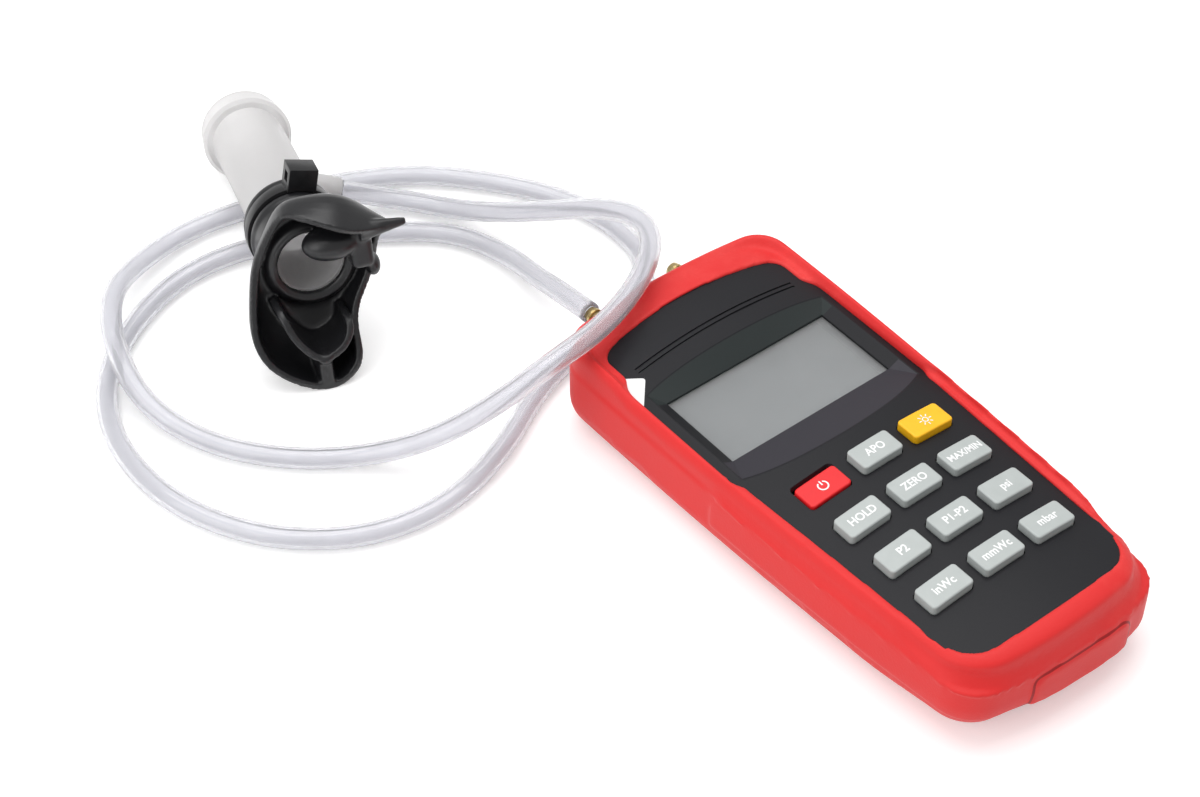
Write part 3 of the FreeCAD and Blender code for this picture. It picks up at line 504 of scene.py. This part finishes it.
def print_on(piece, key):
    """Lay a flat mark on the top of a key."""
    laid = piece.modifiers.new("laid on", "SHRINKWRAP")
    laid.target = nodes[f"key_{key}"]
    laid.wrap_method = "PROJECT"
    laid.use_project_z = True
    laid.use_negative_direction = True
    laid.use_positive_direction = False
    laid.offset = 0.00004
    apply_all(piece)
    piece.data.materials.clear()
    piece.data.materials.append(white_print.material)
    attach(piece, f"{key}_key")


key_columns = (-0.0174, 0.0, 0.0174)
key_rows = (-0.0126, -0.0270, -0.0414, -0.0558)
key_words = [
    ("auto_off", "APO", 1, 0), ("hold", "HOLD", 0, 1), ("zero", "ZERO", 1, 1),
    ("max_min", "MAX/MIN", 2, 1), ("p2", "P2", 0, 2), ("p1_p2", "P1-P2", 1, 2),
    ("psi", "psi", 2, 2), ("inwc", "inWc", 0, 3), ("mmwc", "mmWc", 1, 3), ("mbar", "mbar", 2, 3),
]
for key, word, column, row in key_words:
    bpy.ops.object.select_all(action="DESELECT")
    bpy.ops.object.text_add(location=(0, 0, 0))
    mark = bpy.context.object
    mark.name = f"print_{key}"
    mark.data.body = word
    mark.data.size = 0.0033 if len(word) < 6 else 0.0028
    mark.data.space_character = 1.02
    mark.data.offset = 0.00009
    mark.data.align_x = "CENTER"
    mark.data.align_y = "CENTER"
    mark.data.resolution_u = 4
    bpy.ops.object.convert(target="MESH")
    mark = bpy.context.object
    mark.location = (key_columns[column], key_rows[row], 0.034)
    mark.scale = (0.92, 1.0, 1.0)
    bpy.ops.object.transform_apply(location=True, rotation=True, scale=True)
    print_on(mark, key)


def flat_ring(name, inner, outer, gap=0.0):
    """Flat ring about the origin, open at the top by a gap angle."""
    bpy.ops.object.select_all(action="DESELECT")
    bpy.ops.mesh.primitive_circle_add(vertices=48, radius=inner, fill_type="NOTHING")
    ring = bpy.context.object
    ring.name = name
    bpy.ops.object.mode_set(mode="EDIT")
    bpy.ops.mesh.extrude_edges_move()
    bpy.ops.transform.resize(value=(outer / inner, outer / inner, 1))
    bpy.ops.mesh.select_all(action="DESELECT")
    bpy.ops.object.mode_set(mode="OBJECT")
    for face in ring.data.polygons:
        face.select = abs(math.atan2(face.center.x, face.center.y)) < gap / 2
    bpy.ops.object.mode_set(mode="EDIT")
    bpy.ops.mesh.select_mode(type="FACE")
    bpy.ops.mesh.delete(type="FACE")
    bpy.ops.object.mode_set(mode="OBJECT")
    return ring


def flat_bar(name, width, length, middle, turn=0.0):
    bpy.ops.object.select_all(action="DESELECT")
    bpy.ops.mesh.primitive_plane_add(size=1.0, location=(0, middle, 0))
    bar = bpy.context.object
    bar.name = name
    bar.scale = (width, length, 1)
    bpy.ops.object.transform_apply(location=True, rotation=True, scale=True)
    bar.rotation_euler = (0, 0, turn)
    bpy.ops.object.transform_apply(location=True, rotation=True, scale=True)
    return bar


def join(pieces, name):
    bpy.ops.object.select_all(action="DESELECT")
    for piece in pieces:
        piece.select_set(True)
    bpy.context.view_layer.objects.active = pieces[0]
    bpy.ops.object.join()
    joined = bpy.context.object
    joined.name = name
    return joined


def set_down(piece, x, y):
    choose(piece)
    for face in piece.data.polygons:
        if face.normal.z < 0:
            face.flip()
    piece.location = (x, y, 0.034)
    bpy.ops.object.transform_apply(location=True, rotation=True, scale=True)


power_mark = join([flat_ring("ring", 0.00115, 0.00155, math.radians(60)),
                   flat_bar("bar", 0.0004, 0.0015, 0.00095)], "print_power")
set_down(power_mark, key_columns[0], key_rows[0])
print_on(power_mark, "power")
rays = [flat_bar("ray", 0.00032, 0.0008, 0.0016, math.radians(45 * turn)) for turn in range(8)]
sun_mark = join([flat_ring("sun", 0.0006, 0.0009)] + rays, "print_backlight")
set_down(sun_mark, key_columns[2], key_rows[0])
print_on(sun_mark, "backlight")


# Display: a grey glass panel in a white frame, under a clear window that is snapped into the case
glass_grey = Finish("display glass", specular_ior_level=0.5)
# Painted reflection: the grey glass is painted lighter towards its lower edge and darker towards
# the top.
along = glass_grey.axis(1)
painted_reflection_fade = glass_grey.node("ShaderNodeMapRange", None,
                       {"Value": along, "From Min": 0.008, "From Max": 0.040, "To Min": 0.0,
                        "To Max": 1.0})
cloudy = glass_grey.noise(60.0, 3.0)
glass_grey.set(base_color=glass_grey.blend(painted_reflection_fade, (0.30, 0.325, 0.335), (0.235, 0.255, 0.265)),
               roughness=0.30 + cloudy * 0.1)
glass_grey.bump(glass_grey.noise(4000.0), 0.05, 0.0001)
finish_of("lcd_panel", finish=glass_grey)
window_clear = Finish("clear window", base_color=(1, 1, 1), roughness=0.06, ior=1.49)
haze = window_clear.noise(90.0, 4.0)
window_clear.set(alpha=0.12 + haze * 0.05, roughness=0.05 + haze * 0.06)
finish_of("display_window", finish=window_clear)
frame_white = Finish("display frame")
frame_white.set(base_color=frame_white.blend(frame_white.noise(300.0), (0.66, 0.66, 0.64),
                                             (0.74, 0.74, 0.72)), roughness=0.5)
frame_white.bump(frame_white.noise(2500.0), 0.1, 0.0002)
finish_of("lcd_frame", finish=frame_white)


# Sticker: plain white film, put on askew at the left of the face and tucked under the boot's lip
bpy.ops.object.select_all(action="DESELECT")
bpy.ops.mesh.primitive_plane_add(size=0.010, location=(0, 0, 0))
label = bpy.context.object
label.name = "label"
bpy.ops.object.mode_set(mode="EDIT")
bpy.ops.mesh.select_all(action="SELECT")
bpy.ops.mesh.bevel(offset=0.0009, segments=4, affect="VERTICES")
bpy.ops.mesh.extrude_region_move(TRANSFORM_OT_translate={"value": (0, 0, 0.0001)})
bpy.ops.object.mode_set(mode="OBJECT")
label.rotation_euler = (0, 0, math.radians(-41.5))
label.location = (-0.03397, 0.04525, 0.0)
bpy.ops.object.transform_apply(location=True, rotation=True, scale=True)
for cut in range(1, 12):
    bpy.ops.object.mode_set(mode="EDIT")
    bpy.ops.mesh.select_all(action="SELECT")
    bpy.ops.mesh.bisect(plane_co=(-0.040 + 0.0012 * cut, 0, 0), plane_no=(1, 0, 0))
    bpy.ops.object.mode_set(mode="OBJECT")
bpy.ops.object.mode_set(mode="EDIT")
bpy.ops.mesh.select_all(action="SELECT")
bpy.ops.mesh.bisect(plane_co=(-0.0345, 0, 0), plane_no=(1, 0, 0), clear_inner=True, use_fill=True)
bpy.ops.mesh.select_all(action="SELECT")
bpy.ops.mesh.normals_make_consistent(inside=False)
bpy.ops.object.mode_set(mode="OBJECT")
for vertex in label.data.vertices:
    vertex.co.z += face_height(vertex.co.x * 1000) / 1000
film_white = Finish("white film")
fibre = film_white.noise(1800.0, 4.0)
film_white.set(base_color=film_white.blend(fibre, (0.78, 0.79, 0.80), (0.88, 0.88, 0.88)),
               roughness=0.42 + fibre * 0.1)
film_white.bump(fibre, 0.08, 0.0001)
label.data.materials.clear()
label.data.materials.append(film_white.material)
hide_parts("face_sticker")
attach(label, "meter")


# Back of the case, drawn in at the corner as the boot's foot is, and the battery door: black
# mouldings with a coarse spark-eroded grain, and fine ribs to push against on the door
back_black = Finish("back plastic", specular_ior_level=0.4)
coarse = back_black.noise(1500.0, 3.0, 0.7)
back_black.set(base_color=back_black.blend(coarse, (0.010, 0.010, 0.012), (0.022, 0.022, 0.025)),
               roughness=0.5 + coarse * 0.12)
back_black.bump(coarse, 0.35, 0.0003)
finish_of("rear_case", finish=back_black)
rear = bpy.data.objects.new("rear", nodes["rear_case"].data.copy())
scene.collection.objects.link(rear)
for vertex in rear.data.vertices:
    x, y, z = (value * 1000 for value in vertex.co)
    foot = smooth_step((-45 - y) / 32) * smooth_step((15 - z) / 15)
    y += 3.7 * foot * smooth_step((2 - x) / 22)
    x += 1.8 * foot * smooth_step((-x - 10) / 20)
    vertex.co = (x / 1000, y / 1000, z / 1000)
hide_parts("rear_case")
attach(rear, "meter")
door_black = Finish("door plastic", specular_ior_level=0.4)
door_grain = door_black.noise(1500.0, 3.0, 0.7)
door_y = door_black.axis(1)
ribs = door_black.node("ShaderNodeMath", {"operation": "SINE"}, {0: door_y * 4200.0})
ribbed = ribs * (door_y > -0.005) * (door_y < 0.006) * (abs(door_black.axis(0)) < 0.012)
door_tint = door_black.blend(door_grain, (0.010, 0.010, 0.012), (0.024, 0.024, 0.027))
door_black.set(base_color=door_tint,
               roughness=0.5 + door_grain * 0.12)
door_black.bump(door_grain * 0.5 + ribbed * 0.7, 0.5, 0.0006)
finish_of("battery_door", finish=door_black)


# Screws, battery contacts and cells: plated steel with fine turning marks, and the cells in a
# plain grey wrap between bright ends
plated = Finish("plated steel", metallic=1.0)
turned_marks = plated.noise(2200.0, 3.0)
plated.set(base_color=plated.blend(turned_marks, (0.46, 0.46, 0.45), (0.62, 0.62, 0.60)),
           roughness=0.28 + turned_marks * 0.15)
plated.bump(turned_marks, 0.1, 0.0002)
finish_of("case_screws", "board_screws", "door_screw", "battery_contacts", finish=plated)
wrap = Finish("cell wrap")
ends = abs(wrap.axis(1) + 0.030) > 0.0212
wrap.set(base_color=wrap.blend(ends, (0.14, 0.15, 0.17), (0.6, 0.6, 0.58)), metallic=ends * 1.0,
         roughness=0.3 + wrap.noise(300.0) * 0.1)
finish_of("battery_cells", finish=wrap)


# Ports: turned brass barbs with nuts behind the wall of the case
brass = Finish("turned brass", metallic=1.0)
tooling = brass.node("ShaderNodeTexWave", {"bands_direction": "Y"},
                     {"Vector": brass.place(), "Scale": 900.0, "Distortion": 0.6})
brass.set(base_color=brass.blend(brass.noise(120.0), (0.50, 0.37, 0.16), (0.66, 0.52, 0.26)),
          roughness=0.22 + tooling * 0.12)
brass.bump(tooling, 0.12, 0.0001)
finish_of("port_p1", "port_p2", "port_nuts", finish=brass)


# Inside: green lacquered board, grey keypad mat, black sensors, clear hoses and rubber strips
lacquer = Finish("board lacquer")
tracks = lacquer.node("ShaderNodeTexBrick", {"offset": 0.5},
                      {"Vector": lacquer.place(), "Scale": 320.0, "Mortar Size": 0.04,
                       "Color1": (0.012, 0.10, 0.035), "Color2": (0.018, 0.13, 0.045),
                       "Mortar": (0.03, 0.2, 0.07)})
lacquer.set(base_color=tracks, roughness=0.25 + lacquer.noise(200.0) * 0.1)
finish_of("circuit_board", finish=lacquer)


def rubber_finish(name, dark, light, rough):
    finish = Finish(name, specular_ior_level=0.35)
    shade = finish.noise(500.0, 3.0)
    finish.set(base_color=finish.blend(shade, dark, light), roughness=rough + shade * 0.12)
    finish.bump(finish.noise(2200.0, 2.0), 0.15, 0.0002)
    return finish


finish_of("keypad_mat",
          finish=rubber_finish("mat rubber", (0.28, 0.28, 0.29), (0.34, 0.34, 0.35), 0.5))
finish_of("contact_strips",
          finish=rubber_finish("strip rubber", (0.22, 0.09, 0.09), (0.30, 0.12, 0.11), 0.5))
finish_of("sensor_p1", "sensor_p2",
          finish=rubber_finish("sensor plastic", (0.02, 0.02, 0.024), (0.035, 0.035, 0.04), 0.4))
finish_of("hose_p1", "hose_p2",
          finish=rubber_finish("hose silicone", (0.62, 0.62, 0.61), (0.74, 0.74, 0.73), 0.3))


# Adapter: milky moulded plastic, a barrel with a wide rim and a thin side spigot for the tube
milky = Finish("milky plastic", ior=1.46, transmission_weight=0.55)
flow = milky.noise(70.0, 4.0, 0.6)
milky.set(base_color=milky.blend(flow, (0.76, 0.75, 0.75), (0.84, 0.83, 0.83)),
          roughness=0.34 + flow * 0.16)
milky.bump(milky.noise(700.0, 3.0), 0.14, 0.0003)
finish_of("adapter", finish=milky)
# Mouthpiece: black rubber, moulded in one piece. Its neck is pushed over the adapter's barrel, and
# the shield in front of the teeth curls forward at both ends, with two pads to bite on inside it.
adapter_tilt = math.radians(12.0)
adapter_heading = math.radians(-18.9)
adapter_axis = Vector((math.sin(adapter_heading) * math.cos(adapter_tilt),
                       -math.cos(adapter_heading) * math.cos(adapter_tilt), math.sin(adapter_tilt)))
adapter_right = Vector((math.cos(adapter_heading), math.sin(adapter_heading), 0.0))
adapter_above = adapter_axis.cross(adapter_right)
adapter_frame = Matrix((adapter_right, adapter_above, adapter_axis)).transposed().to_4x4()
adapter_frame.translation = (-0.0438, 0.2145, 0.01182)

# Shield: angle round the hole, then right, above and forward in mm at its free edge
shield_edge = [
    (105, -7.4, 19.7, 92), (95, -3.3, 20.3, 98), (82, 2.5, 18.1, 101), (66, 7.3, 15.7, 102),
    (52, 11.7, 13.3, 100), (40, 17.6, 11.9, 98), (30, 23.1, 11.5, 97), (20, 19.0, 8.5, 92),
    (8, 17.2, 4.7, 90), (-12, 16.4, -4.1, 88), (-32, 11.7, -10.4, 90), (-48, 8.9, -14.3, 92),
    (-60, 7.6, -18.8, 96), (-70, 7.9, -24.5, 98), (-78, 6.4, -28.5, 99), (-90, 1.6, -32.3, 99),
    (-103, -4.1, -32.5, 99), (-120, -11.6, -28.7, 98), (-138, -17.4, -23.7, 96),
    (-155, -19.8, -16.0, 95), (-172, -18.6, -10.6, 91), (-190, -17.1, -3.3, 89),
    (-212, -15.1, 3.6, 87), (-235, -11.2, 10.9, 88),
]
# The wall bulges into a dome at its upper end
dome_at = {105: (-7.0, 20.4), 95: (-2.0, 22.4), 82: (3.4, 23.0), 66: (9.0, 22.2), 52: (13.6, 18.8),
           40: (16.8, 14.6), 30: (18.2, 11.6)}
bpy.ops.object.select_all(action="DESELECT")
bpy.ops.mesh.primitive_circle_add(vertices=len(shield_edge), radius=0.0104, fill_type="NOTHING")
shield = bpy.context.object
shape = bmesh.new()
rings = []
for stage in range(6):
    ring = []
    for angle, right, above, forward in shield_edge:
        turn = math.radians(angle)
        inner = Vector((math.cos(turn), math.sin(turn)))
        outer = Vector((right, above))
        if stage == 0:
            flat, reach = inner * 10.4, 86.5
        elif stage == 1:
            flat, reach = inner * 12.2, 85.5
        elif stage == 2:
            flat, reach = inner * 12.6, 82.5
        elif stage == 3:
            domed = Vector(dome_at.get(angle, (right, above)))
            flat, reach = inner * 12.6 * 0.45 + domed * 0.55, 82.0 + (forward - 82) * 0.14
        elif stage == 4:
            domed = Vector(dome_at.get(angle, (right * 0.98, above * 0.98)))
            flat, reach = domed, 82.0 + (forward - 82) * 0.46
        else:
            flat, reach = outer, forward
        ring.append(shape.verts.new((flat.x / 1000, flat.y / 1000, reach / 1000)))
    rings.append(ring)
for lower, upper in zip(rings, rings[1:]):
    for index in range(len(lower)):
        after = (index + 1) % len(lower)
        shape.faces.new((lower[index], lower[after], upper[after], upper[index]))
shape.to_mesh(shield.data)
shape.free()
smooth = shield.modifiers.new("smooth", "SUBSURF")
smooth.levels = 2
smooth.render_levels = 2
shell = shield.modifiers.new("shell", "SOLIDIFY")
shell.thickness = 0.0021
shell.offset = 0.0
shell.use_rim = True
apply_all(shield)

# Neck: a sleeve with a bead each side of the groove that the tie sits in
neck_outline = [
    (10.75, 60.0), (12.6, 60.0), (13.1, 60.8), (13.1, 62.4), (12.3, 63.4), (12.3, 68.6),
    (13.1, 69.4), (13.1, 71.2), (12.5, 72.2), (12.4, 78.0), (13.2, 82.0), (13.4, 84.5),
    (11.6, 86.6), (9.4, 86.6), (9.2, 84.6), (10.75, 84.4),
]
bpy.ops.object.select_all(action="DESELECT")
bpy.ops.mesh.primitive_circle_add(vertices=len(neck_outline), radius=0.01, fill_type="NOTHING")
neck = bpy.context.object
for vertex, (radius, along) in zip(neck.data.vertices, neck_outline):
    vertex.co = (radius / 1000, 0, along / 1000)
bpy.ops.object.mode_set(mode="EDIT")
bpy.ops.mesh.select_all(action="SELECT")
bpy.ops.mesh.spin(steps=96, angle=2 * math.pi, center=(0, 0, 0), axis=(0, 0, 1), dupli=False)
bpy.ops.mesh.select_all(action="SELECT")
bpy.ops.mesh.remove_doubles(threshold=0.00001)
bpy.ops.mesh.normals_make_consistent(inside=False)
bpy.ops.object.mode_set(mode="OBJECT")


def rubber_lump(middle, size):
    """Egg-shaped lump, its middle and half sizes in mm in the adapter's frame."""
    bpy.ops.object.select_all(action="DESELECT")
    bpy.ops.mesh.primitive_uv_sphere_add(segments=32, ring_count=20, radius=0.001,
                                         location=[value / 1000 for value in middle])
    lump = bpy.context.object
    lump.scale = size
    bpy.ops.object.transform_apply(location=True, rotation=True, scale=True)
    return lump


def rubber_block(right, above, forward):
    """Rounded block between two limits on each axis, in mm in the adapter's frame."""
    limits = (right, above, forward)
    bpy.ops.object.select_all(action="DESELECT")
    bpy.ops.mesh.primitive_cube_add(size=1.0, location=[sum(pair) / 2000 for pair in limits])
    block = bpy.context.object
    block.scale = [(pair[1] - pair[0]) / 1000 for pair in limits]
    bpy.ops.object.transform_apply(location=True, rotation=True, scale=True)
    rounded = block.modifiers.new("rounded", "BEVEL")
    rounded.width = 0.0016
    rounded.segments = 3
    apply_all(block)
    return block


def rubber_wall(line, thickness, root):
    """Upright wall along a line of points, from its free edge back to the shield."""
    wall_shape = bmesh.new()
    pairs = [(wall_shape.verts.new([value / 1000 for value in point]),
              wall_shape.verts.new((point[0] / 1000, point[1] / 1000, root / 1000)))
             for point in line]
    for one, two in zip(pairs, pairs[1:]):
        wall_shape.faces.new((one[0], two[0], two[1], one[1]))
    data = bpy.data.meshes.new("wall")
    wall_shape.to_mesh(data)
    wall_shape.free()
    piece = bpy.data.objects.new("wall", data)
    scene.collection.objects.link(piece)
    curve = piece.modifiers.new("curve", "SUBSURF")
    curve.levels = curve.render_levels = 2
    thick = piece.modifiers.new("thick", "SOLIDIFY")
    thick.thickness = thickness
    thick.offset = 0.0
    apply_all(piece)
    return piece


upper_web = rubber_block((4.5, 12.0), (5.0, 16.0), (85.5, 95))
cheek = rubber_block((9.0, 15.5), (0.5, 12.5), (85.5, 97))
lower_pad = rubber_wall([(-12.2, -7.5, 95), (-11.2, -10.5, 97.5),
                         (-9.7, -15.5, 99), (-6.0, -20.6, 100),
                         (-3.2, -22.4, 100.4), (-0.6, -22.4, 100.4), (4.0, -20.6, 99.5),
                         (6.6, -16.5, 97.5), (5.8, -13.2, 95)], 0.0021, 84.5)
pad_foot = rubber_block((-4.4, -0.2), (-32.0, -21.6), (86, 99.4))
pad_ledge = rubber_block((-4.4, -0.2), (-24.2, -21.0), (95, 101.2))
upper_pad = rubber_lump((5.0, 8.8, 93.0), (8.2, 4.6, 6.0))
lug = rubber_lump((15.2, -0.4, 93), (2.2, 3.4, 3.2))
bpy.ops.object.select_all(action="DESELECT")
bpy.ops.mesh.primitive_cone_add(vertices=32, radius1=0.0032, radius2=0.0011, depth=0.013,
                                location=(0.0185, 0.0122, 0.0965),
                                rotation=(0, math.radians(90), 0))
ear = bpy.context.object
ear.scale = (0.75, 1.0, 1.0)
bpy.ops.object.transform_apply(location=True, rotation=True, scale=True)
mouth = join([shield, neck, upper_pad, upper_web, cheek, lower_pad, pad_foot, pad_ledge, lug,
              ear], "mouth_rubber")
fused = mouth.modifiers.new("fused", "REMESH")
fused.mode = "VOXEL"
fused.voxel_size = 0.0005
eased = mouth.modifiers.new("eased", "SMOOTH")
eased.factor = 0.5
eased.iterations = 5
thinned = mouth.modifiers.new("thinned", "DECIMATE")
thinned.ratio = 0.6
apply_all(mouth)
mouth.matrix_world = adapter_frame
bpy.ops.object.transform_apply(location=True, rotation=True, scale=True)
for vertex in mouth.data.vertices:
    vertex.co.z = max(vertex.co.z, 0.00003)
bpy.ops.object.shade_smooth()
mouth_black = Finish("mouth rubber", specular_ior_level=0.5)
bloom = mouth_black.noise(60.0, 4.0, 0.6)
specks = mouth_black.noise(1300.0, 3.0, 0.7)
mouth_black.set(base_color=mouth_black.blend(bloom, (0.006, 0.006, 0.007), (0.013, 0.013, 0.015)),
                roughness=0.24 + bloom * 0.22)
mouth_black.bump(specks, 0.12, 0.0002)
mouth.data.materials.clear()
mouth.data.materials.append(mouth_black.material)
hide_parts("mouthpiece")
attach(mouth, "meter")


# Cable tie: black nylon strap in the neck's groove, its toothed tail cut off flush at the head.
# The head has turned a little round the neck.
strap = bpy.data.objects.new("strap", nodes["cable_tie"].data.copy())
scene.collection.objects.link(strap)
merge(strap, 0.000002)
tie_turn = Matrix.Rotation(math.radians(20), 4, "Z")
strap.matrix_world = adapter_frame @ tie_turn @ adapter_frame.inverted()
bpy.ops.object.transform_apply(location=True, rotation=True, scale=True)
edges_eased = strap.modifiers.new("edges eased", "BEVEL")
edges_eased.width = 0.0003
edges_eased.segments = 2
edges_eased.angle_limit = math.radians(50)
apply_all(strap)
bpy.ops.object.shade_smooth_by_angle(angle=math.radians(40))
nylon = Finish("tie nylon", specular_ior_level=0.45)
strands = nylon.noise(500.0, 3.0)
nylon.set(base_color=nylon.blend(strands, (0.007, 0.007, 0.008), (0.014, 0.014, 0.015)),
          roughness=0.3 + strands * 0.15)
nylon.bump(nylon.noise(1600.0, 2.0), 0.15, 0.0002)
strap.data.materials.clear()
strap.data.materials.append(nylon.material)
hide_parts("cable_tie")
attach(strap, "meter")
